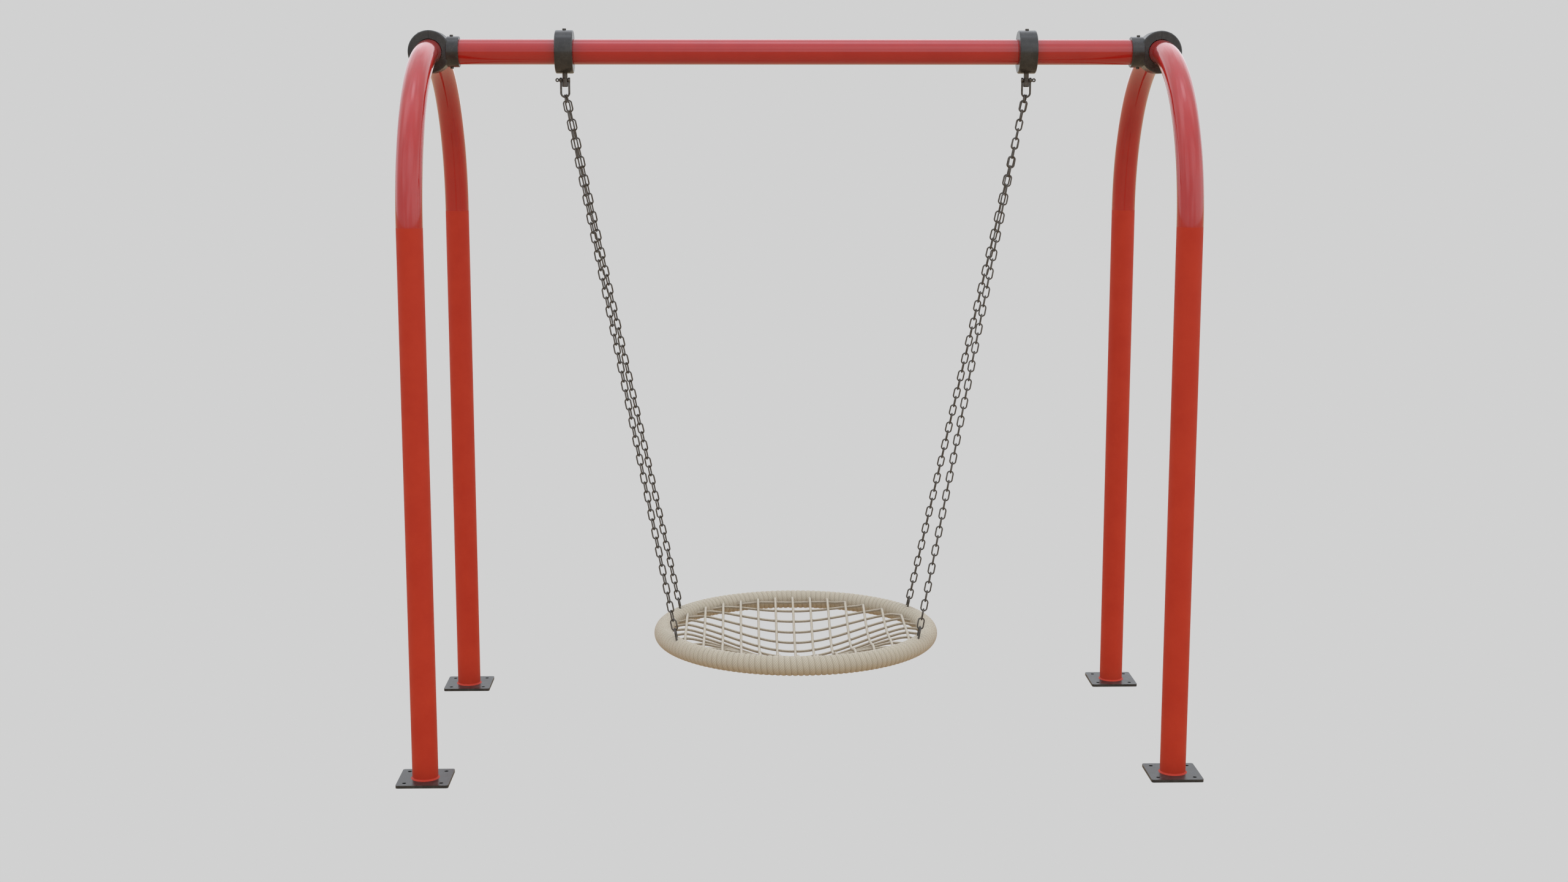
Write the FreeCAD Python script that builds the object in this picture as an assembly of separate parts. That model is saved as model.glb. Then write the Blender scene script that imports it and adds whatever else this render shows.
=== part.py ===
import FreeCAD, Part
import math
import os
from FreeCAD import Matrix, Rotation, Vector

# A nest swing on its own tubular frame.  Millimetres, +Z up.
# The origin is on the ground, midway between the four feet.
# X runs along the top beam, -Y is the front.

# ---- clearances -----------------------------------------------------------
seat_gap = 0.3            # between curved faces that rest on each other
running_gap = 0.05        # radial, shackle pin in its bush
press_gap = 0.02          # radial, bush in its barrel
thread_gap = 0.1          # radial, screw in its tapped hole

# ---- frame ----------------------------------------------------------------
frame_width = 2600.0      # arch plane to arch plane
frame_depth = 1180.0      # front leg to rear leg, centre to centre
beam_height = 2495.0      # centre of the top beam above the ground
tube_od = 88.9
tube_wall = 3.6
tail_length = 100.0       # swaged tail of an arch tube inside its leg
tail_wall = 3.2
tail_neck = 16.0          # thick part of the arch tube above the tail
weld_leg = 5.0            # weld bead round a leg's foot

plate_side = 180.0
plate_thickness = 10.0
plate_corner = 8.0
anchor_spacing = 127.0
anchor_hole = 14.0

# ---- corner tees ----------------------------------------------------------
tee_wall = 30.55          # ring's wall outside the arch tube
tee_length = 90.0         # along the arch tube
tee_edge = 5.0            # rounded rim of the ring
tee_split = 0.8           # parting gap between body and cap
socket_wall = 9.55        # socket's wall outside the beam
socket_root = 15.55       # socket starts this far from the arch tube's wall
socket_end = 58.55        # and ends this far from it
socket_edge = 1.5
beam_stop = 8.55          # the beam's end, from the arch tube's wall
cap_screw_d = 10.0
cap_screw_height = 15.55  # above and below the arch tube's wall
cap_screw_spread = 22.0   # to each side of the ring's middle
cap_screw_seat = 30.0     # head seat, from the parting plane
cap_screw_grip = 26.0     # thread length in the body
cap_head_d = 16.0
cap_head_height = 10.0
cap_hex = 8.0

# ---- set screws -----------------------------------------------------------
set_screw_d = 12.0
set_screw_proud = 5.5
set_screw_hex = 6.0
set_screw_hex_depth = 6.0
set_screw_place = 30.55   # from the arch tube's wall, along the beam

# ---- hangers --------------------------------------------------------------
hanger_spacing = 1650.0   # centre to centre along the beam
collar_wall = 31.55       # collar's wall outside the beam
collar_width = 64.0
collar_edge = 5.0
collar_screw_d = 13.5
stem_d = 18.0
pin_drop = 99.0           # shackle pin axis below the beam's centre
barrel_d = 21.0
barrel_above_pin = 8.0
barrel_below_pin = 24.0
barrel_edge = 2.0
bush_wall = 2.0

# ---- shackles -------------------------------------------------------------
pin_d = 8.0
bow_rod = 7.0
bow_half_width = 14.5     # rod centre to the shackle's middle plane
bow_length = 45.0         # pin axis to the centre of the bow's round end
ear_od = 18.0
ear_width = 7.0
pin_flange_d = 12.0
pin_flange = 2.5
eye_od = 14.0
eye_hole = 5.0
eye_thickness = 5.0
eye_reach = 9.0           # flange face to the centre of the eye

# ---- chains ---------------------------------------------------------------
chain_wire = 5.5
chain_pitch = 33.91       # also the link's inner length, less the gap
chain_width = 26.0        # outside width of a link
joiner_length = 23.4      # inner length of the short link on the bow
joiner_width = 22.0
joiner_splay = 28.0       # degrees, the front and rear short links lean apart
joiner_spacing = 6.1      # they hang side by side on the bow
left_chain_twist = 14.0   # degrees, natural twist of the left chains
right_chain_twist = 3.0
twist_links = 8           # links over which the twist builds up

# ---- nest seat ------------------------------------------------------------
seat_height = 371.0       # wanted height of the ring's centre
ring_radius = 492.0       # ring centreline
ring_core_od = 42.4
ring_core_wall = 3.2
winding_od = 70.0
lug_angle = 29.0          # degrees from the X axis
lug_reach = 71.0          # ring centreline to the lug's crown, along the chain
lug_rod = 7.0
lug_half_width = 17.0     # rod centre to the lug's middle
open_lug_gap = 1.2        # right lugs, where the sway linkage is opened

# ---- net ------------------------------------------------------------------
rope_d = 9.5
rope_pitch = 68.0
rope_margin = 30.0        # least room between the outermost rope and the winding
net_edge_rise = 19.0      # net edge above the ring's centre
net_sag = 119.0           # middle of the net below its edge
layer_gap = 0.8           # between the crossing rope layers
least_turn = math.radians(0.1)  # a rope's corner under this is left straight

# ---- worked out from the above --------------------------------------------
tube_r = tube_od / 2
tee_od = tube_od + 2 * tee_wall
socket_od = tube_od + 2 * socket_wall
collar_od = tube_od + 2 * collar_wall
arch_radius = frame_depth / 2
spring_height = beam_height - arch_radius
arch_x = frame_width / 2
hanger_x = hanger_spacing / 2
pin_height = beam_height - pin_drop
bow_centre_height = pin_height - bow_length
link_length = chain_pitch + seat_gap
beam_end = tube_r + beam_stop
beam_half_length = arch_x - beam_end
set_screw_reach = tube_r + set_screw_place
cap_screw_reach = tube_r + cap_screw_height
rope_room = ring_radius - winding_od / 2 - rope_margin
ropes_each_side = int(rope_room / rope_pitch)

x_axis = Vector(1, 0, 0)
y_axis = Vector(0, 1, 0)
z_axis = Vector(0, 0, 1)


def sides(x):
    """Name of the side that an x place is on."""
    return "left" if x < 0 else "right"


def ends(y):
    return "front" if y < 0 else "rear"


def export(name, shapes):
    """Write one sub-part, which may hold several separate solids."""
    solids = [solid for shape in shapes for solid in shape.Solids]
    shape = solids[0] if len(solids) == 1 else Part.makeCompound(solids)
    shape.exportStep(os.path.join("parts", name + ".step"))


def rod(radius, start, end):
    along = end - start
    return Part.makeCylinder(radius, along.Length, start, along)


def tube(outer, inner, start, end):
    return rod(outer, start, end).cut(rod(inner, start, end))


def round_edges(solid, radius, keep):
    """Fillet the edges that keep(edge) chooses."""
    return solid.makeFillet(radius, [edge for edge in solid.Edges if keep(edge)])


def bevel_edges(solid, size, keep):
    return solid.makeChamfer(size, [edge for edge in solid.Edges if keep(edge)])


def is_circle(edge, radius):
    """True for an edge that is a full circle of this radius."""
    curve = edge.Curve
    return isinstance(curve, Part.Circle) and abs(curve.Radius - radius) < 0.01


def hex_prism(width, depth, base, direction):
    """Six-sided prism, width across flats, for a key socket."""
    corner = width / math.sqrt(3)
    points = []
    for step in range(7):
        turn = math.radians(60 * step)
        points.append(Vector(corner * math.cos(turn), corner * math.sin(turn), 0))
    prism = Part.Face(Part.makePolygon(points)).extrude(Vector(0, 0, depth))
    return placed(prism, base, Rotation(z_axis, direction))


def placed(shape, place, turn):
    copy = shape.copy()
    copy.Placement = FreeCAD.Placement(place, turn)
    return copy


# ---- frame ----------------------------------------------------------------
def half_arch_ring(radius, trim_degrees=0.0):
    """Upper half of a torus that stands in the YZ plane."""
    full = Part.makeTorus(arch_radius, radius, Vector(0, 0, 0), x_axis)
    reach = arch_radius + radius + 10
    keep = Part.makeBox(2 * reach, 2 * reach, reach, Vector(-reach, -reach, 0))
    if trim_degrees:
        for sign in (-1, 1):
            wedge = Part.makeBox(2 * reach, 2 * reach, reach, Vector(-reach, -reach, -reach))
            wedge.rotate(Vector(0, 0, 0), x_axis, sign * trim_degrees)
            keep = keep.cut(wedge)
    return full.common(keep)


def arch_tube(x):
    """Bent tube with a swaged tail at each end, which goes down inside a leg."""
    bore_r = tube_r - tube_wall
    tail_r = bore_r - seat_gap
    tail_bore = tail_r - tail_wall
    neck_degrees = math.degrees(tail_neck / arch_radius)
    body = half_arch_ring(tube_r)
    for y in (-arch_radius, arch_radius):
        body = body.fuse(rod(tail_r, Vector(0, y, -tail_length), Vector(0, y, tail_neck / 4)))
    body = body.cut(half_arch_ring(bore_r, neck_degrees))
    for y in (-arch_radius, arch_radius):
        body = body.cut(rod(tail_bore, Vector(0, y, -tail_length), Vector(0, y, 1.3 * tail_neck)))
    body.translate(Vector(x, 0, spring_height))
    return body


def leg(x, y):
    """Straight tube from the foot plate to the arch, with its weld bead."""
    foot = Vector(x, y, plate_thickness)
    top = Vector(x, y, spring_height)
    bead = Part.makeCone(tube_r + weld_leg, tube_r, weld_leg, foot)
    return rod(tube_r, foot, top).fuse(bead).cut(rod(tube_r - tube_wall, foot, top))


def foot_plate(x, y):
    half = plate_side / 2
    plate = Part.makeBox(plate_side, plate_side, plate_thickness, Vector(x - half, y - half, 0))
    plate = round_edges(plate, plate_corner, lambda edge: abs(edge.tangentAt(0).z) > 0.9)
    for dx in (-anchor_spacing / 2, anchor_spacing / 2):
        for dy in (-anchor_spacing / 2, anchor_spacing / 2):
            low = Vector(x + dx, y + dy, 0)
            plate = plate.cut(rod(anchor_hole / 2, low, low + z_axis * plate_thickness))
    return plate


def top_beam():
    start = Vector(-beam_half_length, 0, beam_height)
    end = Vector(beam_half_length, 0, beam_height)
    return tube(tube_r, tube_r - tube_wall, start, end)


# ---- corner tees ----------------------------------------------------------
def tee_ring_drop():
    """How far a straight ring sits below the crown of the curved tube."""
    half = tee_length / 2
    return (arch_radius - math.sqrt(arch_radius ** 2 - half ** 2)) / 2


def tee_bore_radius():
    """Bore that clears the curved tube along the whole ring."""
    tilt = math.asin(tee_length / 2 / arch_radius)
    return tube_r / math.cos(tilt) + tee_ring_drop() + seat_gap


def cap_screw_places():
    for y in (-cap_screw_spread, cap_screw_spread):
        for z in (-cap_screw_reach, cap_screw_reach):
            yield Vector(0, y, z)


def tee_ring(side):
    """Whole ring round the arch crown, with its screw holes, in its own frame."""
    half = tee_length / 2
    ring = rod(tee_od / 2, Vector(0, -half, 0), Vector(0, half, 0))
    ring = round_edges(ring, tee_edge, lambda edge: is_circle(edge, tee_od / 2))
    for place in cap_screw_places():
        seat = place - x_axis * side * -cap_screw_seat
        outer = place + x_axis * side * tee_od
        tip = place - x_axis * side * cap_screw_grip
        ring = ring.cut(rod(cap_head_d / 2 + 2 * seat_gap, seat, outer))
        ring = ring.cut(rod(cap_screw_d / 2 + thread_gap, seat, tip))
    return ring


def half_space(side, reach):
    """Box on one side of the parting plane, held back by half the gap."""
    low = tee_split / 2 if side > 0 else -tee_split / 2 - reach
    return Part.makeBox(reach, 2 * reach, 2 * reach, Vector(low, -reach, -reach))


def tee_pieces(x):
    """Body with the beam socket, and the cap outside the arch tube."""
    side = 1 if x > 0 else -1
    drop = tee_ring_drop()
    ring = tee_ring(side)
    inward = -x_axis * side
    socket = rod(socket_od / 2, inward * (tube_r + socket_root), inward * (tube_r + socket_end))
    socket = bevel_edges(socket, socket_edge, lambda edge: is_circle(edge, socket_od / 2))
    socket.translate(z_axis * drop)
    body = ring.common(half_space(-side, tee_od)).fuse(socket).removeSplitter()
    cap = ring.common(half_space(side, tee_od))
    bore = rod(tee_bore_radius(), -y_axis * tee_od, y_axis * tee_od)
    body = body.cut(bore)
    cap = cap.cut(bore)
    beam_pocket = rod(tube_r + seat_gap, inward * (beam_end - seat_gap), inward * tee_od)
    beam_pocket.translate(z_axis * drop)
    body = body.cut(beam_pocket)
    for direction in (-1, 1):
        place = inward * set_screw_reach + z_axis * drop
        hole = rod(set_screw_d / 2 + thread_gap, place, place + z_axis * direction * tee_od)
        body = body.cut(hole)
    for piece in (body, cap):
        piece.translate(Vector(x, 0, beam_height - drop))
    return body, cap


def cap_screws(x):
    """Socket head screws that pull the cap onto the body."""
    side = 1 if x > 0 else -1
    outward = x_axis * side
    screws = []
    for place in cap_screw_places():
        centre = place + Vector(x, 0, beam_height - tee_ring_drop())
        seat = centre + outward * (cap_screw_seat + seat_gap)
        head_top = seat + outward * cap_head_height
        tip = centre - outward * (cap_screw_grip - 1)
        head = rod(cap_head_d / 2, seat, head_top)
        head = bevel_edges(head, 0.8, lambda edge: is_circle(edge, cap_head_d / 2))
        screw = head.fuse(rod(cap_screw_d / 2, tip, seat + outward))
        key = hex_prism(cap_hex, cap_head_height / 2, head_top - outward * cap_head_height / 2, outward)
        screws.append(screw.cut(key))
    return screws


def set_screw(diameter, tip, top, direction):
    """Grub screw with a bevelled top edge and a key socket."""
    body = rod(diameter / 2, tip, top)
    body = bevel_edges(body, 0.8, lambda edge: is_circle(edge, diameter / 2))
    base = top - direction * set_screw_hex_depth
    return body.cut(hex_prism(set_screw_hex, set_screw_hex_depth, base, direction))


def tee_set_screws(x):
    side = 1 if x > 0 else -1
    screws = []
    for direction in (z_axis, -z_axis):
        centre = Vector(x - side * set_screw_reach, 0, beam_height)
        tip = centre + direction * (tube_r + seat_gap)
        top = centre + direction * (socket_od / 2 + set_screw_proud)
        screws.append(set_screw(set_screw_d, tip, top, direction))
    return screws


# ---- hangers --------------------------------------------------------------
def hanger_collar(x):
    """Thick ring on the beam, tapped above and below."""
    start = Vector(x - collar_width / 2, 0, beam_height)
    end = Vector(x + collar_width / 2, 0, beam_height)
    collar = rod(collar_od / 2, start, end)
    collar = round_edges(collar, collar_edge, lambda edge: is_circle(edge, collar_od / 2))
    collar = collar.cut(rod(tube_r + seat_gap, start, end))
    centre = Vector(x, 0, beam_height)
    collar = collar.cut(rod(collar_screw_d / 2 + thread_gap, centre, centre + z_axis * collar_od))
    return collar.cut(rod(stem_d / 2 + thread_gap, centre, centre - z_axis * collar_od))


def collar_screw(x):
    centre = Vector(x, 0, beam_height)
    tip = centre + z_axis * (tube_r + seat_gap)
    top = centre + z_axis * (collar_od / 2 + set_screw_proud)
    return set_screw(collar_screw_d, tip, top, z_axis)


def hanger_bolt(x):
    """Stem screwed up into the collar, with the cross-bored barrel below."""
    pin = Vector(x, 0, pin_height)
    barrel_top = pin + z_axis * barrel_above_pin
    barrel = rod(barrel_d / 2, pin - z_axis * barrel_below_pin, barrel_top)
    barrel = bevel_edges(barrel, barrel_edge, lambda edge: is_circle(edge, barrel_d / 2))
    stem_top = Vector(x, 0, beam_height - tube_r - 2 * seat_gap)
    bolt = barrel.fuse(rod(stem_d / 2, barrel_top - z_axis * barrel_edge, stem_top))
    bush_r = pin_d / 2 + running_gap + bush_wall
    bore = rod(bush_r + press_gap, pin - x_axis * barrel_d, pin + x_axis * barrel_d)
    return bolt.cut(bore)


def pin_bush(x):
    """Bush in the barrel, trimmed to the barrel's round side."""
    pin = Vector(x, 0, pin_height)
    inner = pin_d / 2 + running_gap
    reach = x_axis * barrel_d
    bush = tube(inner + bush_wall, inner, pin - reach, pin + reach)
    low = pin - z_axis * barrel_below_pin
    return bush.common(rod(barrel_d / 2, low, pin + z_axis * barrel_above_pin))


# ---- shackles -------------------------------------------------------------
def shackle_bow(x):
    """U of round rod with an ear at each end, bored for the pin."""
    rod_r = bow_rod / 2
    pin = Vector(x, 0, pin_height)
    low = Vector(x, 0, bow_centre_height)
    loop = Part.makeTorus(bow_half_width, rod_r, low, y_axis)
    reach = bow_half_width + bow_rod
    below = Part.makeBox(2 * reach, 2 * reach, reach, low - Vector(reach, reach, reach))
    bow = loop.common(below)
    ear_inner = bow_half_width + rod_r - ear_width
    for side in (-1, 1):
        arm = x_axis * side * bow_half_width
        bow = bow.fuse(rod(rod_r, low + arm, pin + arm))
        ear = rod(ear_od / 2, pin + x_axis * side * ear_inner, pin + x_axis * side * (ear_inner + ear_width))
        bow = bow.fuse(bevel_edges(ear, 0.8, lambda edge: is_circle(edge, ear_od / 2)))
    bore = rod(pin_d / 2 + seat_gap / 3, pin - x_axis * reach, pin + x_axis * reach)
    return bow.cut(bore)


def shackle_pin(x):
    """Pin through both ears, with a flange and an eye at the outboard end."""
    side = 1 if x > 0 else -1
    out = x_axis * side
    pin = Vector(x, 0, pin_height)
    face = bow_half_width + bow_rod / 2
    body = rod(pin_d / 2, pin - out * face, pin + out * (face + 1))
    flange_start = pin + out * (face + seat_gap)
    body = body.fuse(rod(pin_flange_d / 2, flange_start, flange_start + out * pin_flange))
    eye_centre = flange_start + out * eye_reach
    half = eye_thickness / 2
    body = body.fuse(rod(eye_thickness / 2, flange_start, eye_centre))
    eye = rod(eye_od / 2, eye_centre - y_axis * half, eye_centre + y_axis * half)
    eye = bevel_edges(eye, 1.0, lambda edge: is_circle(edge, eye_od / 2))
    hole = rod(eye_hole / 2, eye_centre - y_axis * eye_od, eye_centre + y_axis * eye_od)
    return body.fuse(eye).cut(hole)


# ---- chains ---------------------------------------------------------------
def chain_link(inner_length, width):
    """One link, lying in the XZ plane with its length along Z."""
    end_radius = (width - chain_wire) / 2
    straight = (inner_length + chain_wire) / 2 - end_radius
    wire_r = chain_wire / 2
    reach = width
    ring = Part.makeTorus(end_radius, wire_r, Vector(0, 0, 0), y_axis)
    upper = ring.common(Part.makeBox(2 * reach, 2 * reach, reach, Vector(-reach, -reach, 0)))
    lower = ring.common(Part.makeBox(2 * reach, 2 * reach, reach, Vector(-reach, -reach, -reach)))
    upper.translate(z_axis * straight)
    lower.translate(-z_axis * straight)
    link = upper.fuse(lower)
    for x in (-end_radius, end_radius):
        link = link.fuse(rod(wire_r, Vector(x, 0, -straight), Vector(x, 0, straight)))
    return link.removeSplitter()


def frame_turn(along, across):
    """Rotation that takes Z to along, and X to the part of across square to it."""
    z = Vector(along).normalize()
    x = across - z * across.dot(z)
    x.normalize()
    y = z.cross(x)
    return Rotation(Matrix(x.x, y.x, z.x, 0, x.y, y.y, z.y, 0, x.z, y.z, z.z, 0, 0, 0, 0, 1))


def lug_foot(side, end, ring_height):
    """Where a lug's line meets the ring's centreline."""
    turn = math.radians(lug_angle)
    return Vector(side * ring_radius * math.cos(turn), end * ring_radius * math.sin(turn), ring_height)


def joiner(side, end, lean):
    """Direction and centre of the short link that hangs on the bow.

    Its top wire rests inside the bow's round end, to one side of the middle,
    because the front and rear chains share the bow.  It leans out about the
    bow's rod, so that it clears the second link of the other chain."""
    splay = math.radians(joiner_splay)
    in_plane = Vector(-side * math.sin(lean), 0, -math.cos(lean))
    across = Vector(math.cos(lean), 0, -side * math.sin(lean))
    down = in_plane * math.cos(splay) + y_axis * end * math.sin(splay)
    lever = (bow_rod + chain_wire) / 2 + seat_gap
    turn = math.asin(joiner_spacing / 2 / (bow_half_width - lever))
    aside = across * end * math.sin(turn)
    bow_centre = Vector(side * hanger_x, 0, bow_centre_height)
    on_rod = bow_centre + (in_plane * math.cos(turn) + aside) * bow_half_width
    top_wire = on_rod - (down * math.cos(turn) + aside) * lever
    return down, top_wire + down * ((joiner_length + chain_wire) / 2)


def second_wire(side, end, lean):
    """Centre of the second link's top wire, inside the short link."""
    down, centre = joiner(side, end, lean)
    return centre + down * (joiner_length / 2 - seat_gap - chain_wire / 2)


def run_length(link_count):
    """From the second link's top wire to the ring's centreline."""
    half_link = (link_length + chain_wire) / 2
    into_lug = link_length / 2 - seat_gap - lug_rod / 2
    return half_link + (link_count - 2) * chain_pitch + into_lug + lug_reach


def chain_lean():
    """Sideways lean of a chain, from the hanger to its lug."""
    foot = lug_foot(1, 1, seat_height)
    return math.atan2(hanger_x - foot.x, bow_centre_height - seat_height)


def count_links():
    """Even number of links that comes nearest to the wanted seat height."""
    start = second_wire(1, 1, chain_lean())
    wanted = (lug_foot(1, 1, seat_height) - start).Length
    spare = wanted - run_length(2)
    return 2 + 2 * round(spare / (2 * chain_pitch))


def real_seat_height(link_count):
    """Height of the ring's centre that the whole links give."""
    start = second_wire(1, 1, chain_lean())
    foot = lug_foot(1, 1, 0)
    level = math.hypot(foot.x - start.x, foot.y - start.y)
    return start.z - math.sqrt(run_length(link_count) ** 2 - level ** 2)


link_count = count_links()
ring_height = real_seat_height(link_count)


def chain_line(side, end):
    """Start of the straight run, its direction, and the lug's foot."""
    start = second_wire(side, end, chain_lean())
    foot = lug_foot(side, end, ring_height)
    along = (foot - start).normalize()
    return start, along, foot


def chain(side, end, short_link, link):
    """All the links of one chain, each turned a quarter from the last."""
    start, along, foot = chain_line(side, end)
    down, centre = joiner(side, end, chain_lean())
    links = [placed(short_link, centre, frame_turn(down, y_axis))]
    full_twist = left_chain_twist if side < 0 else right_chain_twist
    second_centre = start + along * ((link_length + chain_wire) / 2)
    for number in range(2, link_count + 1):
        twist = full_twist * min(1.0, (number - 2) / twist_links)
        quarter = 0.0 if number % 2 == 0 else 90.0
        turn = frame_turn(along, x_axis).multiply(Rotation(z_axis, twist + quarter))
        place = second_centre + along * ((number - 2) * chain_pitch)
        links.append(placed(link, place, turn))
    return links


# ---- nest seat ------------------------------------------------------------
def ring_torus(radius):
    return Part.makeTorus(ring_radius, radius, Vector(0, 0, ring_height), z_axis)


def lug_frame(side, end):
    """Crown centre and directions of a lug: down its legs, and across them."""
    start, along, foot = chain_line(side, end)
    crown = foot - along * lug_reach
    across = y_axis - along * y_axis.dot(along)
    across.normalize()
    return crown, along, across, foot


def lug_rods(side, end, grow):
    """The U of a lug, or with grow its clearance hole."""
    crown, along, across, foot = lug_frame(side, end)
    if side > 0:
        crown = crown - along * (open_lug_gap - seat_gap)
    radius = lug_rod / 2 + grow
    middle = crown + along * lug_half_width
    normal = along.cross(across)
    loop = Part.makeTorus(lug_half_width, radius, middle, normal)
    reach = 2 * lug_half_width
    cover = Part.makeBox(2 * reach, 2 * reach, reach, Vector(-reach, -reach, -reach))
    lug = loop.common(placed(cover, middle, frame_turn(along, across)))
    for hand in (-1, 1):
        top = middle + across * hand * lug_half_width
        lug = lug.fuse(rod(radius, top, top + along * (lug_reach - lug_half_width + lug_rod)))
    return lug


def lug(side, end):
    """Bent rod whose two feet are coped to the core ring."""
    return lug_rods(side, end, 0.0).cut(ring_torus(ring_core_od / 2 + seat_gap))


def core_ring():
    return ring_torus(ring_core_od / 2).cut(ring_torus(ring_core_od / 2 - ring_core_wall))


def rim_winding():
    """Rope winding round the core, with a way out for each lug."""
    winding = ring_torus(winding_od / 2).cut(ring_torus(ring_core_od / 2 + seat_gap))
    for side in (-1, 1):
        for end in (-1, 1):
            winding = winding.cut(lug_rods(side, end, seat_gap))
    return winding


# ---- net ------------------------------------------------------------------
def net_height(radius):
    """Height of the net's middle surface at a distance from the centre."""
    swing = math.cos(math.pi * radius / ring_radius)
    return ring_height + net_edge_rise - net_sag * (1 + swing) / 2


def rope_stations(offset):
    """Places along a rope: its two ends in the winding and each crossing."""
    end = math.sqrt(ring_radius ** 2 - offset ** 2)
    inside = math.sqrt((ring_radius - winding_od / 2) ** 2 - offset ** 2)
    last = min(int(inside / rope_pitch), ropes_each_side)
    return [-end] + [rope_pitch * step for step in range(-last, last + 1)] + [end]


def corner_arc(before, corner, after):
    """Start, middle and end of the arc that rounds a corner, if it turns."""
    back = (before - corner).normalize()
    ahead = (after - corner).normalize()
    turn = math.pi - back.getAngle(ahead)
    if turn < least_turn:
        return None
    reach = 0.45 * min((before - corner).Length, (after - corner).Length)
    radius = reach / math.tan(turn / 2)
    to_middle = (back + ahead).normalize()
    middle = corner + to_middle * (radius / math.cos(turn / 2) - radius)
    return corner + back * reach, middle, corner + ahead * reach


def eased(points):
    """Corners moved out, so that the arcs' middles pass through the points."""
    moved = [points[0]]
    for before, corner, after in zip(points, points[1:], points[2:]):
        arc = corner_arc(before, corner, after)
        moved.append(corner + (corner - arc[1]) if arc else corner)
    return moved + [points[-1]]


def rounded_path(points):
    """Straight runs joined by tangent arcs, in order."""
    edges = []
    at = points[0]
    for before, corner, after in zip(points, points[1:], points[2:]):
        arc = corner_arc(before, corner, after)
        if arc:
            start, middle, end = arc
            edges.append(Part.LineSegment(at, start).toShape())
            edges.append(Part.Arc(start, middle, end).toShape())
            at = end
        else:
            edges.append(Part.LineSegment(at, corner).toShape())
            at = corner
    edges.append(Part.LineSegment(at, points[-1]).toShape())
    return Part.Wire(edges)


def net_rope(offset, lengthwise, ring_clear):
    """One rope of the net, coped to the winding at both ends."""
    lift = (rope_d + layer_gap) / 2
    points = []
    for station in rope_stations(offset):
        height = net_height(math.hypot(station, offset))
        if lengthwise:
            points.append(Vector(offset, station, height + lift))
        else:
            points.append(Vector(station, offset, height - lift))
    points = eased(points)
    section = Part.Wire(Part.makeCircle(rope_d / 2, points[0], points[1] - points[0]))
    rope = rounded_path(points).makePipeShell([section], True, True)
    parts = rope.cut(ring_clear).Solids
    return max(parts, key=lambda solid: solid.Volume)


def net_ropes(lengthwise):
    ring_clear = ring_torus(winding_od / 2 + seat_gap)
    steps = range(-ropes_each_side, ropes_each_side + 1)
    return [net_rope(step * rope_pitch, lengthwise, ring_clear) for step in steps]


# ---- build ----------------------------------------------------------------
def build_frame():
    for x in (-arch_x, arch_x):
        export(sides(x) + "_arch_tube", [arch_tube(x)])
        body, cap = tee_pieces(x)
        export(sides(x) + "_tee_body", [body])
        export(sides(x) + "_tee_cap", [cap])
        export(sides(x) + "_tee_cap_screws", cap_screws(x))
        export(sides(x) + "_tee_set_screws", tee_set_screws(x))
        for y in (-arch_radius, arch_radius):
            corner = ends(y) + "_" + sides(x)
            export(corner + "_leg", [leg(x, y)])
            export(corner + "_foot_plate", [foot_plate(x, y)])
    export("top_beam", [top_beam()])


def build_hangers():
    for x in (-hanger_x, hanger_x):
        export(sides(x) + "_hanger_collar", [hanger_collar(x)])
        export(sides(x) + "_collar_set_screw", [collar_screw(x)])
        export(sides(x) + "_hanger_bolt", [hanger_bolt(x)])
        export(sides(x) + "_pin_bush", [pin_bush(x)])
        export(sides(x) + "_shackle_bow", [shackle_bow(x)])
        export(sides(x) + "_shackle_pin", [shackle_pin(x)])


def build_seat():
    short_link = chain_link(joiner_length, joiner_width)
    link = chain_link(link_length, chain_width)
    for side in (-1, 1):
        for end in (-1, 1):
            corner = ends(end) + "_" + sides(side)
            export(corner + "_chain", chain(side, end, short_link, link))
            export(corner + "_lug", [lug(side, end)])
    export("seat_core_ring", [core_ring()])
    export("rim_winding", [rim_winding()])
    export("net_lengthwise_ropes", net_ropes(True))
    export("net_crosswise_ropes", net_ropes(False))


os.makedirs("parts", exist_ok=True)
build_frame()
build_hangers()
build_seat()
print("links in each chain:", link_count)
print("ring centre height:", round(ring_height, 2))
print("left lug crown:", lug_frame(-1, -1)[0])
print("bow round centre:", -hanger_x, bow_centre_height)
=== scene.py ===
import math

import bpy
import numpy as np
from mathutils import Matrix, Vector


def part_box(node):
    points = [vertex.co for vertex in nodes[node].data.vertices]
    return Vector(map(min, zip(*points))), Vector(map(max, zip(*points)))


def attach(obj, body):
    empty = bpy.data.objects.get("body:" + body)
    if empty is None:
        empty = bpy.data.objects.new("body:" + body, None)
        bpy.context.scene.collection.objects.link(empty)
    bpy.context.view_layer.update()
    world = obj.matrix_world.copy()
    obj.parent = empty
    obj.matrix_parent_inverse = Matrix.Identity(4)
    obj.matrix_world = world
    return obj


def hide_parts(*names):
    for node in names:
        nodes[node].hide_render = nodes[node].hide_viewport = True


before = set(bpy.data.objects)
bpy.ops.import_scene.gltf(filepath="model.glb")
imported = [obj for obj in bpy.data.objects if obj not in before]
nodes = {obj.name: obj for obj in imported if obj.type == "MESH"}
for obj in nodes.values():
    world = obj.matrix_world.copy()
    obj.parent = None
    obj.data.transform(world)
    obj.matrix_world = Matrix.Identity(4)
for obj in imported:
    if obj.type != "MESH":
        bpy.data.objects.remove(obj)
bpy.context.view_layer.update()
print("frame loaded:", len(nodes), "nodes")


# small tools for objects
def deselectAll():
    for item in bpy.context.selected_objects:
        item.select_set(False)
    bpy.context.view_layer.objects.active = None


def pick(item):
    deselectAll()
    item.select_set(True)
    bpy.context.view_layer.objects.active = item


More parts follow.
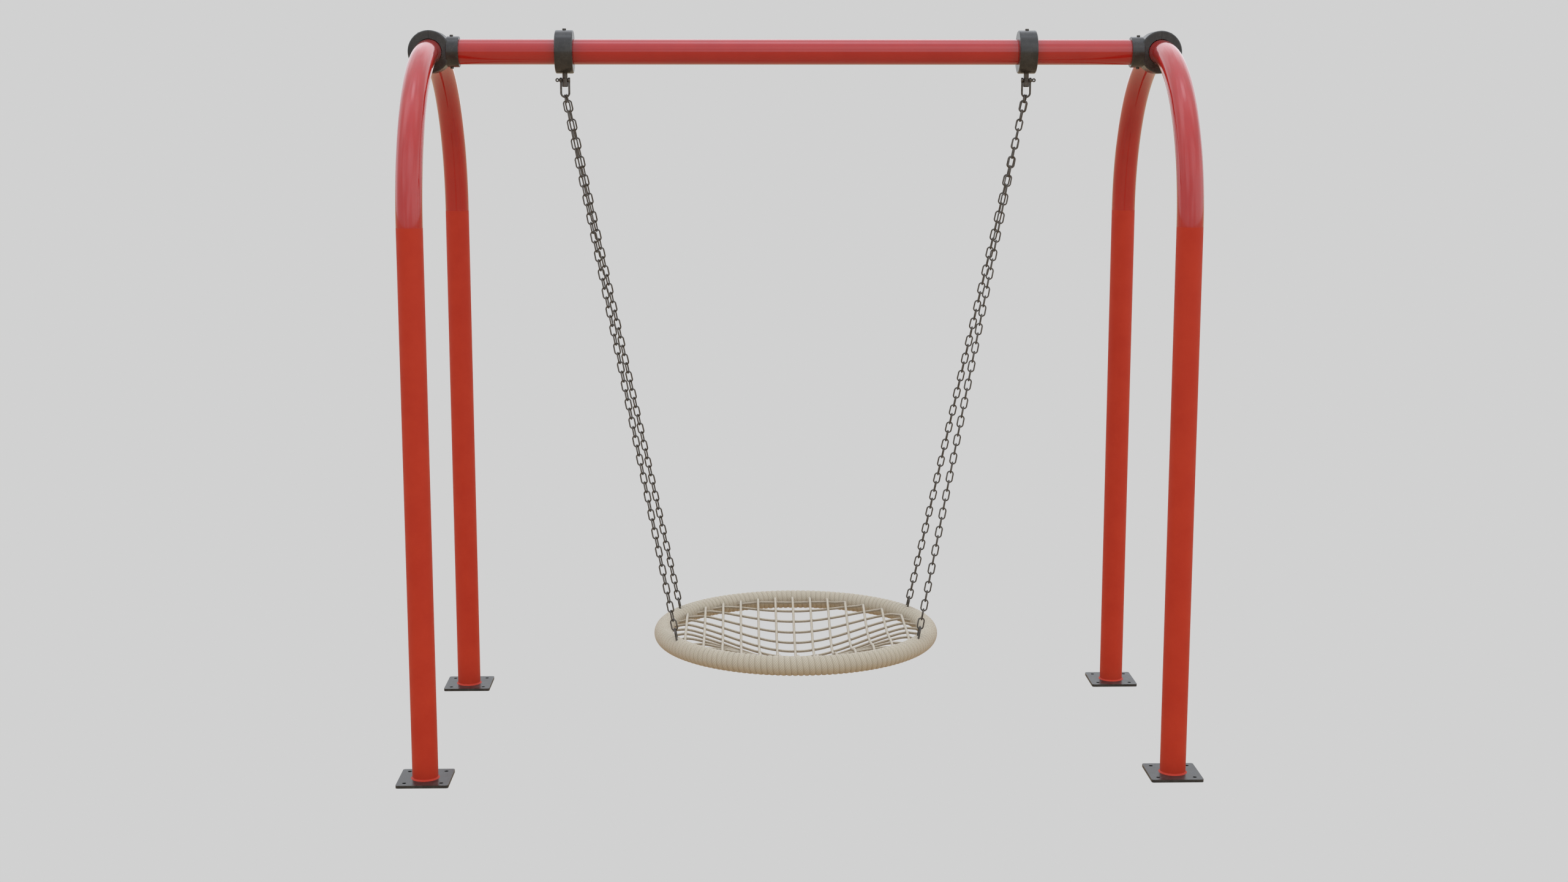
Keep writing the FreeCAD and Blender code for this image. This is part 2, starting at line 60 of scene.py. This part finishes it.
def applyAll(item):
    pick(item)
    for modifier in list(item.modifiers):
        bpy.ops.object.modifier_apply(modifier=modifier.name)


def applyPlace(item):
    pick(item)
    bpy.ops.object.transform_apply(location=True, rotation=True, scale=True)


def editWith(item, wanted):
    # edit mode with just the vertices that wanted(place) is true for
    pick(item)
    bpy.ops.object.mode_set(mode="EDIT")
    bpy.ops.mesh.select_mode(type="VERT")
    bpy.ops.mesh.select_all(action="DESELECT")
    bpy.ops.object.mode_set(mode="OBJECT")
    for vertex in item.data.vertices:
        vertex.select = bool(wanted(vertex.co))
    bpy.ops.object.mode_set(mode="EDIT")


def editAll(item):
    pick(item)
    bpy.ops.object.mode_set(mode="EDIT")
    bpy.ops.mesh.select_all(action="SELECT")


def editOpenEnds(item):
    pick(item)
    bpy.ops.object.mode_set(mode="EDIT")
    bpy.ops.mesh.select_all(action="DESELECT")
    bpy.ops.mesh.select_non_manifold()


def objectMode():
    bpy.ops.object.mode_set(mode="OBJECT")


def placedCopy(item, matrix):
    copy = item.copy()
    copy.data = item.data.copy()
    copy.data.transform(matrix)
    bpy.context.collection.objects.link(copy)
    return copy


def joinAll(items, name):
    deselectAll()
    for item in items:
        item.select_set(True)
    bpy.context.view_layer.objects.active = items[0]
    bpy.ops.object.join()
    items[0].name = name
    items[0].data.name = name
    return items[0]


def drop(item):
    bpy.data.objects.remove(item, do_unlink=True)


def wear(item, material):
    item.data.materials.clear()
    item.data.materials.append(material)


deselectAll()


# small tools for materials
def newMaterial(name):
    material = bpy.data.materials.new(name)
    material.use_nodes = True
    tree = material.node_tree
    return material, tree, tree.nodes["Principled BSDF"]


def add(tree, kind, inputs=None, **settings):
    node = tree.nodes.new("ShaderNode" + kind)
    for key, value in settings.items():
        setattr(node, key, value)
    for key, value in (inputs or {}).items():
        node.inputs[key].default_value = value
    return node


def noise(tree, where, scale, detail=3.0, roughness=0.5):
    node = add(tree, "TexNoise", {"Scale": scale, "Detail": detail, "Roughness": roughness})
    tree.links.new(where, node.inputs["Vector"])
    return node.outputs["Fac"]


def ramp(tree, source, stops):
    node = add(tree, "ValToRGB")
    marks = node.color_ramp.elements
    while len(marks) < len(stops):
        marks.new(0.5)
    for mark, (place, color) in zip(marks, stops):
        mark.position = place
        mark.color = (*color, 1.0)
    tree.links.new(source, node.inputs["Fac"])
    return node.outputs["Color"]


def remap(tree, source, low, high, newLow, newHigh):
    node = add(tree, "MapRange", {"From Min": low, "From Max": high, "To Min": newLow, "To Max": newHigh})
    tree.links.new(source, node.inputs["Value"])
    return node.outputs["Result"]


def mathNode(tree, operation, first, second=0.0):
    node = add(tree, "Math", operation=operation)
    for socket, value in zip(node.inputs, (first, second)):
        if isinstance(value, (int, float)):
            socket.default_value = value
        else:
            tree.links.new(value, socket)
    return node.outputs["Value"]


def mixColor(tree, factor, first, second, blend="MIX"):
    node = add(tree, "Mix", data_type="RGBA", blend_type=blend)
    for index, value in ((0, factor), (6, first), (7, second)):
        socket = node.inputs[index]
        if isinstance(value, (int, float)):
            socket.default_value = value
        elif isinstance(value, tuple):
            socket.default_value = (*value, 1.0)
        else:
            tree.links.new(value, socket)
    return node.outputs[2]


def bump(tree, shader, height, strength, distance):
    node = add(tree, "Bump", {"Strength": strength, "Distance": distance})
    tree.links.new(height, node.inputs["Height"])
    tree.links.new(node.outputs["Normal"], shader.inputs["Normal"])


def objectPlace(tree):
    return add(tree, "TexCoord").outputs["Object"]


# red powder coat: glossy on the arches and the beam, dull on the legs
archPaintLook = {"red": (0.54, 0.012, 0.006), "deep": (0.50, 0.008, 0.004), "roughness": 0.14, "coat": 0.9}
legPaintLook = {"red": (0.61, 0.048, 0.019), "deep": (0.57, 0.040, 0.016), "roughness": 0.42, "coat": 0.0}
redGrain = {"clouds": 9.0, "smears": 30.0, "peel": 420.0, "bump": 0.06, "depth": 0.0004,
            "coatRoughness": 0.06, "dullSpecular": 0.25}


def redPaint(name, look):
    material, tree, shader = newMaterial(name)
    where = objectPlace(tree)
    cloud = noise(tree, where, redGrain["clouds"], 5.0, 0.6)
    tone = ramp(tree, cloud, [(0.35, look["deep"]), (0.65, look["red"])])
    tree.links.new(tone, shader.inputs["Base Color"])
    smear = noise(tree, where, redGrain["smears"], 4.0, 0.65)
    rough = remap(tree, smear, 0.3, 0.7, look["roughness"] * 0.8, look["roughness"] * 1.3)
    tree.links.new(rough, shader.inputs["Roughness"])
    peel = noise(tree, where, redGrain["peel"], 2.0)
    bump(tree, shader, peel, redGrain["bump"], redGrain["depth"])
    shader.inputs["Coat Weight"].default_value = look["coat"]
    shader.inputs["Coat Roughness"].default_value = redGrain["coatRoughness"]
    if not look["coat"]:
        shader.inputs["Specular IOR Level"].default_value = redGrain["dullSpecular"]
    return material


# dark paint on the fittings and plates, bare dark steel on chains and shackles
fittingLook = {"body": (0.026, 0.025, 0.023), "worn": (0.055, 0.052, 0.046), "roughness": 0.24, "coat": 0.3}
plateLook = {"body": (0.026, 0.026, 0.025), "worn": (0.065, 0.062, 0.056), "roughness": 0.3, "coat": 0.1}
steelLook = {"body": (0.10, 0.091, 0.078), "worn": (0.18, 0.165, 0.145), "roughness": 0.42}
shackleLook = dict(steelLook, body=(0.07, 0.065, 0.058), roughness=0.36)
bushLook = {"body": (0.25, 0.15, 0.06), "worn": (0.4, 0.27, 0.12), "roughness": 0.35}
paintGrain = {"clouds": 45.0, "grain": 700.0, "bump": 0.12, "depth": 0.0005, "coatRoughness": 0.12}
steelGrain = {"clouds": 90.0, "grain": 900.0, "bump": 0.2, "depth": 0.0004, "metallic": 0.75}


def darkPaint(name, look):
    material, tree, shader = newMaterial(name)
    where = objectPlace(tree)
    cloud = noise(tree, where, paintGrain["clouds"], 5.0, 0.65)
    tone = ramp(tree, cloud, [(0.42, look["body"]), (0.75, look["worn"])])
    tree.links.new(tone, shader.inputs["Base Color"])
    rough = remap(tree, cloud, 0.3, 0.7, look["roughness"] * 0.85, look["roughness"] * 1.3)
    tree.links.new(rough, shader.inputs["Roughness"])
    grain = noise(tree, where, paintGrain["grain"], 3.0)
    bump(tree, shader, grain, paintGrain["bump"], paintGrain["depth"])
    # flat faces seen edge-on stay dark
    facing = add(tree, "LayerWeight", {"Blend": 0.5}).outputs["Facing"]
    edgeOn = remap(tree, facing, 0.8, 0.95, 1.0, 0.1)
    tree.links.new(mathNode(tree, "MULTIPLY", edgeOn, look["coat"]), shader.inputs["Coat Weight"])
    tree.links.new(mathNode(tree, "MULTIPLY", edgeOn, 0.5), shader.inputs["Specular IOR Level"])
    shader.inputs["Coat Roughness"].default_value = paintGrain["coatRoughness"]
    return material


def darkSteel(name, look):
    material, tree, shader = newMaterial(name)
    where = objectPlace(tree)
    cloud = noise(tree, where, steelGrain["clouds"], 5.0, 0.7)
    tone = ramp(tree, cloud, [(0.35, look["body"]), (0.7, look["worn"])])
    tree.links.new(tone, shader.inputs["Base Color"])
    rough = remap(tree, cloud, 0.3, 0.7, look["roughness"] * 0.8, look["roughness"] * 1.25)
    tree.links.new(rough, shader.inputs["Roughness"])
    grain = noise(tree, where, steelGrain["grain"], 3.0)
    bump(tree, shader, grain, steelGrain["bump"], steelGrain["depth"])
    shader.inputs["Metallic"].default_value = steelGrain["metallic"]
    return material


archPaint = redPaint("archPaint", archPaintLook)
legPaint = redPaint("legPaint", legPaintLook)
fittingPaint = darkPaint("fittingPaint", fittingLook)
platePaint = darkPaint("platePaint", plateLook)
chainSteel = darkSteel("chainSteel", steelLook)
shackleSteel = darkSteel("shackleSteel", shackleLook)
bushBronze = darkSteel("bushBronze", bushLook)
print("metal finishes made")

for name, node in nodes.items():
    if "tee_body" in name or name.endswith("tee_cap") or name.endswith("collar"):
        wear(node, fittingPaint)
    elif name.endswith("arch_tube") or name == "top_beam":
        wear(node, archPaint)
    elif name.endswith("leg"):
        wear(node, legPaint)
    elif name.endswith("plate"):
        wear(node, platePaint)
    elif name.endswith("bush"):
        wear(node, bushBronze)
    else:
        wear(node, shackleSteel)
print("frame painted")


# braided rope: thick on the rim, thin in the net, where the crosswise ropes are painted darker, as shaded
# copies of the same rope
# the rim rope's browner colour for its underside is painted shade
rimRopeLook = {"light": (0.64, 0.58, 0.465), "dark": (0.50, 0.44, 0.33), "paintedShadeColour": (0.58, 0.45, 0.27),
               "stitchAlong": 0.0080, "stitchesAround": 8, "bump": 0.3, "depth": 0.0010}
# the net rope's lighter top colour is a painted highlight from above
netRopeLook = {"light": (0.61, 0.55, 0.44), "dark": (0.43, 0.375, 0.28), "stitchAlong": 0.0070,
               "stitchesAround": 4, "bump": 0.35, "depth": 0.0007, "paintedTopLight": 0.7,
               "paintedTopColour": (0.67, 0.61, 0.49)}
# the crosswise ropes are the net rope with darker tones: painted shade
paintedShadeRopeLook = dict(netRopeLook, light=(0.52, 0.45, 0.345), dark=(0.34, 0.285, 0.205))
# the share for the underside sets how strong the rim rope's painted shade is; the share for the lower side
# does the same for the net rope's painted shade
ropeGrain = {"fibres": 900.0, "fibreShare": 0.25, "patches": 14.0, "patchShare": 0.22, "paintedShadeShare": 0.75,
             "paintedUnderShare": 0.35, "specular": 0.2, "sheen": 0.25, "sheenRoughness": 0.5}


def ropeMaterial(name, look, paintedShadeFrom=None):
    # a braid from two sets of slanted strands; the UV map holds metres along and turns around the rope
    material, tree, shader = newMaterial(name)
    split = add(tree, "SeparateXYZ")
    tree.links.new(add(tree, "UVMap", uv_map="ropeUV").outputs["UV"], split.inputs["Vector"])
    along = mathNode(tree, "DIVIDE", split.outputs["X"], look["stitchAlong"])
    around = mathNode(tree, "MULTIPLY", split.outputs["Y"], look["stitchesAround"])
    waves = []
    for way in ("ADD", "SUBTRACT"):
        phase = mathNode(tree, "MULTIPLY", mathNode(tree, way, along, around), math.pi)
        waves.append(mathNode(tree, "ABSOLUTE", mathNode(tree, "SINE", phase)))
    braid = mathNode(tree, "MULTIPLY", waves[0], waves[1])
    where = objectPlace(tree)
    fibre = noise(tree, where, ropeGrain["fibres"], 3.0, 0.7)
    patch = noise(tree, where, ropeGrain["patches"], 4.0, 0.6)
    height = mathNode(tree, "ADD", braid, mathNode(tree, "MULTIPLY", fibre, ropeGrain["fibreShare"]))
    # painted shade: the grooves between the braid's strands come out darker than the strands
    tone = ramp(tree, height, [(0.15, look["dark"]), (0.75, look["light"])])
    fadeAndPaintedLight = mixColor(tree, remap(tree, patch, 0.35, 0.7, 0.0, ropeGrain["patchShare"]), tone, look["dark"])
    if paintedShadeFrom:
        # painted shade: toward the bottom of the rim the rope is painted browner
        up = add(tree, "SeparateXYZ")
        tree.links.new(where, up.inputs["Vector"])
        under = remap(tree, up.outputs["Z"], *paintedShadeFrom, 0.0, ropeGrain["paintedShadeShare"])
        fadeAndPaintedLight = mixColor(tree, under, fadeAndPaintedLight, look["paintedShadeColour"])
    if "paintedTopLight" in look:
        # painted light and shade: the rope is painted darker all over, then its faces that look up are
        # painted lighter
        side = add(tree, "SeparateXYZ")
        tree.links.new(add(tree, "TexCoord").outputs["Normal"], side.inputs["Vector"])
        top = remap(tree, side.outputs["Z"], 0.1, 0.9, 0.0, look["paintedTopLight"])
        under = mixColor(tree, ropeGrain["paintedUnderShare"], fadeAndPaintedLight, look["dark"])
        fadeAndPaintedLight = mixColor(tree, top, under, look["paintedTopColour"])
    tree.links.new(fadeAndPaintedLight, shader.inputs["Base Color"])
    tree.links.new(remap(tree, height, 0.0, 1.0, 0.95, 0.75), shader.inputs["Roughness"])
    bump(tree, shader, height, look["bump"], look["depth"])
    shader.inputs["Specular IOR Level"].default_value = ropeGrain["specular"]
    shader.inputs["Sheen Weight"].default_value = ropeGrain["sheen"]
    shader.inputs["Sheen Roughness"].default_value = ropeGrain["sheenRoughness"]
    return material


def ropeUV(item, around, step):
    # u is metres along the rope, v is turns around it; the screw leaves its rings of vertices in order
    layer = item.data.uv_layers.new(name="ropeUV")
    for face in item.data.polygons:
        if len(face.vertices) != 4:
            continue
        places = [divmod(index, around) for index in face.vertices]
        wraps = max(place[1] for place in places) - min(place[1] for place in places) > 1
        for loop, (ring, side) in zip(face.loop_indices, places):
            turn = side / around
            if wraps and side == 0:
                turn = 1.0
            layer.data[loop].uv = (ring * step, turn)


# the rope wound round the seat's rim
windingLook = {"turns": 154, "stepsPerTurn": 28, "sectionPoints": 16, "ropeDepth": 0.013, "overlap": 1.09,
               "fullness": 1.04, "shoulderFrom": 0.4, "pathSteps": 200, "joinUnder": 0.0003}
rimLow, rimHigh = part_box("rim_winding")
rimMiddle = (rimLow + rimHigh) / 2
windingRadius = (rimHigh.z - rimLow.z) / 2
rimRadius = (rimHigh.x - rimLow.x) / 2 - windingRadius


def circlePath(radius, height, steps):
    bpy.ops.curve.primitive_bezier_circle_add(radius=radius, location=(0, 0, height))
    path = bpy.context.object
    path.data.resolution_u = steps
    applyPlace(path)
    return path


def pressedSection(halfWide, look):
    # a rope pressed flat: an oval in the XZ plane with its shoulders pushed out
    bpy.ops.mesh.primitive_circle_add(vertices=look["sectionPoints"], radius=1.0, calc_uvs=False,
                                      rotation=(math.radians(90), 0, 0))
    section = bpy.context.object
    applyPlace(section)
    editWith(section, lambda place: min(abs(place.x), abs(place.z)) > look["shoulderFrom"])
    bpy.ops.transform.resize(value=(look["fullness"], 1, look["fullness"]), center_override=(0, 0, 0))
    bpy.ops.mesh.select_all(action="SELECT")
    bpy.ops.transform.resize(value=(look["ropeDepth"] / 2, 1, halfWide), center_override=(0, 0, 0))
    objectMode()
    return section


def makeWinding(look):
    path = circlePath(rimRadius, rimMiddle.z, look["pathSteps"])
    ringLength = path.data.splines[0].calc_length(resolution=look["pathSteps"])
    pitch = ringLength / look["turns"]
    middleRadius = windingRadius - look["ropeDepth"] / 2
    winding = pressedSection(pitch / 2 * look["overlap"], look)
    editAll(winding)
    bpy.ops.transform.translate(value=(middleRadius, 0, 0))
    objectMode()
    screw = winding.modifiers.new("wind", "SCREW")
    screw.axis = "Z"
    screw.angle = math.tau
    screw.screw_offset = pitch
    screw.iterations = look["turns"]
    screw.steps = screw.render_steps = look["stepsPerTurn"]
    screw.use_smooth_shade = True
    applyAll(winding)
    turnLength = math.hypot(math.tau * middleRadius, pitch)
    ropeUV(winding, look["sectionPoints"], turnLength / look["stepsPerTurn"])
    bend = winding.modifiers.new("bend", "CURVE")
    bend.object = path
    bend.deform_axis = "POS_Z"
    applyAll(winding)
    editOpenEnds(winding)   # only its two ends are joined, not turns that touch
    bpy.ops.mesh.remove_doubles(threshold=look["joinUnder"])
    bpy.ops.mesh.select_all(action="SELECT")
    bpy.ops.mesh.normals_make_consistent(inside=False)
    objectMode()
    drop(path)
    winding.name = winding.data.name = "rimRope"
    return winding


winding = makeWinding(windingLook)
# the rim rope is painted browner toward its bottom, as painted shade
wear(winding, ropeMaterial("rimRopeBraid", rimRopeLook, (rimMiddle.z, rimLow.z)))
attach(winding, "seat")
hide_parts("rim_winding")
print("rim wound:", len(winding.data.polygons), "faces")


# the net: lengthwise ropes lie over crosswise ones, and its front edge is tied lower
netLook = {"ropeAcross": 0.0095, "pitch": 0.068, "sideRopes": 6, "edgeRise": 0.019, "sag": 0.119,
           "flatFrom": 0.415, "frontDip": 0.014, "frontFrom": 0.29, "frontOver": 0.11, "endDip": 0.007,
           "endFrom": 0.43, "endOver": 0.03, "layerGap": 0.0008, "endInside": 0.020, "leastRun": 0.03}
# at the rear right a crosswise rope turns into a lengthwise one: the rope it becomes, and the bend's radius
cornerRopes = {6: (3, 0.042), 5: (4, 0.018), 4: (5, 0.018), 3: (6, 0.042)}
cornerLook = {"tail": 1.4, "cut": 0.3, "swell": 0.003}
ropeTwist = {"points": 12, "strands": 3, "groove": 0.88, "grooveHalf": 0.1, "lead": 0.036, "steps": 12,
             "pathSteps": 16}


def share(value, start, over):
    return min(max((value - start) / over, 0.0), 1.0)


def netHeight(x, y, look):
    across = math.hypot(x, y)
    end = share(across, look["endFrom"], look["endOver"])
    sag = look["sag"] * (1 + math.cos(math.pi * min(across, look["flatFrom"]) / rimRadius)) / 2
    front = share(-y, look["frontFrom"], look["frontOver"])
    dip = look["frontDip"] * front * front * (3 - 2 * front) + look["endDip"] * end * (1 - front)
    return rimMiddle.z + look["edgeRise"] - sag - dip


def ropePoints(count, lengthwise, look):
    # both ends inside the winding, and a point at each crossing
    offset = count * look["pitch"]
    reach = math.sqrt((rimRadius - look["endInside"]) ** 2 - offset ** 2)
    inner = math.sqrt((rimRadius - windingRadius) ** 2 - offset ** 2)
    last = min(int(inner / look["pitch"]), look["sideRopes"])
    lift = (look["ropeAcross"] + look["layerGap"]) / 2
    turnsAt, back = cornerRopes.get(count, (None, 0))
    tail = cornerLook["tail"]
    cut = cornerLook["cut"] * back
    stations = [look["pitch"] * step for step in range(-last, turnsAt if turnsAt else last + 1)]
    if reach + stations[0] > look["leastRun"]:
        stations.insert(0, (stations[0] - reach) / 2)
    if not turnsAt and reach - stations[-1] > look["leastRun"]:
        stations.append((reach + stations[-1]) / 2)
    flat = [(-reach, offset, 1), *[(place, offset, 1) for place in stations]]
    if not turnsAt:
        flat.append((reach, offset, 1))
    elif lengthwise:
        flat.append((turnsAt * look["pitch"] - tail * cornerRopes[turnsAt][1], offset, 1))
    else:
        corner = turnsAt * look["pitch"]
        flat += [(corner - back, offset + cornerLook["swell"], 1), (corner - cut, offset - cut, 0.2),
                 (corner, offset - back, -0.8), (corner, offset - tail * back, -1)]
    points = []
    for place, side, layer in flat:   # layer is 1 in the rope's own layer and -1 in the other one
        if lengthwise:
            points.append(Vector((side, place, netHeight(side, place, look) + lift)))
        else:
            points.append(Vector((place, side, netHeight(place, side, look) - lift * layer)))
    return points


def smoothPath(points, steps):
    bpy.ops.curve.primitive_bezier_curve_add(radius=1.0)
    path = bpy.context.object
    spline = path.data.splines[0]
    spline.bezier_points.add(len(points) - 2)
    for knot, point in zip(spline.bezier_points, points):
        knot.co = point
        knot.handle_left_type = knot.handle_right_type = "AUTO"
    path.data.resolution_u = steps
    path.location = (0, 0, 0)
    bpy.context.view_layer.update()
    return path


def layRope(points, across, look):
    # a straight laid rope, screwed out of a lobed section and then bent along its path
    path = smoothPath(points, look["pathSteps"])
    length = path.data.splines[0].calc_length(resolution=2 * look["pathSteps"])
    turns = max(1, round(length / look["lead"]))
    bpy.ops.mesh.primitive_circle_add(vertices=look["points"], radius=across / 2, calc_uvs=False)
    rope = bpy.context.object
    third = math.tau / look["strands"]   # the grooves between the strands are pushed in
    editWith(rope, lambda place: abs(math.atan2(place.y, place.x) % third - third / 2) < look["grooveHalf"])
    bpy.ops.transform.resize(value=(look["groove"], look["groove"], 1), center_override=(0, 0, 0))
    objectMode()
    screw = rope.modifiers.new("lay", "SCREW")
    screw.axis = "Z"
    screw.angle = math.tau
    screw.screw_offset = length / turns
    screw.iterations = turns
    screw.steps = screw.render_steps = look["steps"]
    screw.use_smooth_shade = True
    applyAll(rope)
    ropeUV(rope, look["points"], length / turns / look["steps"])
    editOpenEnds(rope)
    bpy.ops.mesh.fill_holes(sides=look["points"])
    bpy.ops.mesh.select_all(action="SELECT")
    bpy.ops.mesh.normals_make_consistent(inside=False)
    objectMode()
    bend = rope.modifiers.new("bend", "CURVE")
    bend.object = path
    bend.deform_axis = "POS_Z"
    applyAll(rope)
    drop(path)
    return rope


# the crosswise ropes wear the darker copy, which is painted shade
netBraids = {True: ropeMaterial("netBraidLight", netRopeLook),
             False: ropeMaterial("netBraidPaintedShade", paintedShadeRopeLook)}
for nodeName, slotName, lengthwise in (("net_lengthwise_ropes", "net_rope_light", True),
                                       ("net_crosswise_ropes", "net_rope_dark", False)):
    ropes = []
    for count in range(-netLook["sideRopes"], netLook["sideRopes"] + 1):
        points = ropePoints(count, lengthwise, netLook)
        ropes.append(layRope(points, netLook["ropeAcross"], ropeTwist))
    net = joinAll(ropes, "netLengthwise" if lengthwise else "netCrosswise")
    wear(net, netBraids[lengthwise])
    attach(net, "seat")
    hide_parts(nodeName)
    print("net ropes laid:", net.name, len(net.data.polygons), "faces")


# the chains: every link stands where its CAD link stands
linkLook = {"segments": 16, "sides": 5, "joinUnder": 0.00001}


def linkPlaces(nodeName):
    # centre, directions and sizes of each link, read from the CAD node's own mesh
    copy = nodes[nodeName].copy()
    copy.data = copy.data.copy()
    copy.parent = None
    bpy.context.collection.objects.link(copy)
    editAll(copy)
    bpy.ops.mesh.remove_doubles(threshold=linkLook["joinUnder"])
    bpy.ops.mesh.separate(type="LOOSE")
    objectMode()
    places = []
    for part in list(bpy.context.selected_objects):
        cloud = np.array([vertex.co for vertex in part.data.vertices])
        thick, wide, tall = np.linalg.eigh(np.cov((cloud - cloud.mean(0)).T))[1].T   # least spread first
        ends = [(cloud @ axis).min() + (cloud @ axis).max() for axis in (thick, wide, tall)]
        sizes = [(cloud @ axis).max() - (cloud @ axis).min() for axis in (thick, wide, tall)]
        centre = sum(end / 2 * axis for end, axis in zip(ends, (thick, wide, tall)))
        places.append((Vector(centre), Vector(wide), Vector(tall), sizes))
        drop(part)
    return sorted(places, key=lambda place: -place[0].z)


def makeLink(thick, wide, tall, look):
    # a ring turned half a step, so that its two halves pull apart into straight sides
    half = math.pi / look["segments"]
    bpy.ops.mesh.primitive_torus_add(major_segments=look["segments"], minor_segments=look["sides"],
                                     major_radius=(wide - thick) / 2 / math.cos(half), minor_radius=thick / 2,
                                     rotation=(math.radians(90), half, 0))
    link = bpy.context.object
    applyPlace(link)
    highest = max(vertex.co.z for vertex in link.data.vertices)
    for way in (1, -1):
        editWith(link, lambda place: place.z * way > 0)
        bpy.ops.transform.translate(value=(0, 0, way * (tall / 2 - highest)))
        objectMode()
    return link


chainsByBody = {"left_chains": ("front_left_chain", "rear_left_chain"),
                "right_chains": ("front_right_chain", "rear_right_chain")}
linksMade = {}
for bodyName, chainNames in chainsByBody.items():
    for chainName in chainNames:
        links = []
        for centre, wide, tall, sizes in linkPlaces(chainName):
            key = tuple(round(size, 4) for size in sizes)
            if key not in linksMade:
                linksMade[key] = makeLink(*key, linkLook)
            place = Matrix((wide, tall.cross(wide), tall)).transposed().to_4x4()
            place.translation = centre
            links.append(placedCopy(linksMade[key], place))
        chain = joinAll(links, chainName.replace("_", "") + "Links")
        pick(chain)
        bpy.ops.object.shade_smooth()
        wear(chain, chainSteel)
        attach(chain, bodyName)
        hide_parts(chainName)
        print("chain linked:", chain.name, len(links), "links")
for link in linksMade.values():
    drop(link)


# the floor: an even grey to the camera, warm ground to the swing
floorLook = {"seen": (0.638, 0.638, 0.638), "bounce": (0.50, 0.38, 0.25), "size": 400.0, "drop": 0.0005}
bpy.ops.mesh.primitive_plane_add(size=floorLook["size"], location=(0, 0, -floorLook["drop"]))
floor = bpy.context.object
floor.name = "floor"
applyPlace(floor)
material, tree, shader = newMaterial("paleFloor")
shader.inputs["Base Color"].default_value = (*floorLook["bounce"], 1.0)
shader.inputs["Roughness"].default_value = 0.9
shader.inputs["Specular IOR Level"].default_value = 0.0
shown = add(tree, "Emission", {"Color": (*floorLook["seen"], 1.0)})
either = add(tree, "MixShader")
tree.links.new(add(tree, "LightPath").outputs["Is Camera Ray"], either.inputs[0])
tree.links.new(shader.outputs["BSDF"], either.inputs[1])
tree.links.new(shown.outputs["Emission"], either.inputs[2])
tree.links.new(either.outputs["Shader"], tree.nodes["Material Output"].inputs["Surface"])
wear(floor, material)


# the light: a pale sky that brightens toward the top, with soft clouds
skyLook = {"behind": (0.638, 0.638, 0.638),
           "climb": [(0.0, (0.80, 0.82, 0.84)), (0.44, (0.82, 0.85, 0.90)), (0.74, (1.0, 1.04, 1.12)),
                     (0.95, (1.15, 1.22, 1.35)), (0.985, (1.4, 1.5, 1.7)), (1.0, (2.6, 2.8, 3.1))],
           "cloudScale": 1.6, "clouds": (0.8, 1.3)}
world = bpy.data.worlds.new("softSky")
world.use_nodes = True
bpy.context.scene.world = world
tree = world.node_tree
background = tree.nodes["Background"]
where = add(tree, "TexCoord").outputs["Generated"]
split = add(tree, "SeparateXYZ")
tree.links.new(where, split.inputs["Vector"])
climb = ramp(tree, split.outputs["Z"], skyLook["climb"])
cloud = noise(tree, where, skyLook["cloudScale"], 3.0, 0.5)
bright = remap(tree, cloud, 0.42, 0.62, *skyLook["clouds"])
sky = mixColor(tree, 1.0, climb, bright, "MULTIPLY")
seen = add(tree, "LightPath").outputs["Is Camera Ray"]
tree.links.new(mixColor(tree, seen, sky, skyLook["behind"]), background.inputs["Color"])
print("sky and floor made")


# the camera
cameraLook = {"location": (-0.222, -7.363, 2.288), "tilt": 80.751, "turn": -1.387, "lens": 46.56,
              "sensor": 36.0, "reach": 1000.0}
bpy.ops.object.camera_add(location=cameraLook["location"],
                          rotation=(math.radians(cameraLook["tilt"]), 0, math.radians(cameraLook["turn"])))
camera = bpy.context.object
camera.data.lens = cameraLook["lens"]
camera.data.sensor_width = cameraLook["sensor"]
camera.data.clip_end = cameraLook["reach"]
bpy.context.scene.camera = camera
bpy.context.scene.view_settings.view_transform = "Standard"
